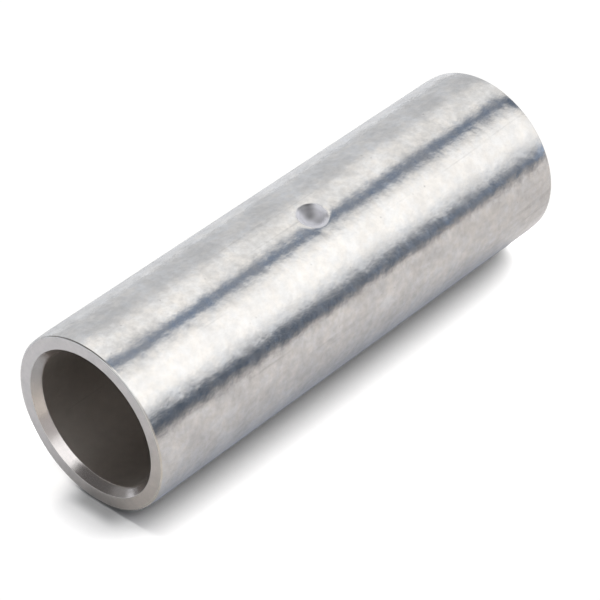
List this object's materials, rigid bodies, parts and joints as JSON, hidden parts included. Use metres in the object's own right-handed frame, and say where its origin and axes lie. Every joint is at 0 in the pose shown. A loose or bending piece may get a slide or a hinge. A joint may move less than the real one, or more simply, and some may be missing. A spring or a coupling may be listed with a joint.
{
  "type": "butt splice connector",
  "caption": "Plain tinned copper sleeve that joins conductors end to end, open at both ends, with chamfered mouths and a punched stop at mid-length.",
  "frame": {"origin": "centre of the lower end face, on the tube's axis", "axes": "+Z along the tube's axis towards the upper mouth, which is the near mouth in the picture; -Y towards the side whose wall is punched in for the stop"},
  "size_m": [0.032, 0.032, 0.098],
  "materials": {
    "tinned_copper": "bright satin tin plating over copper, lightly mottled, with handling marks"
  },
  "bodies": {
    "root": {"sleeve": "tinned_copper"}
  },
  "joints": []
}
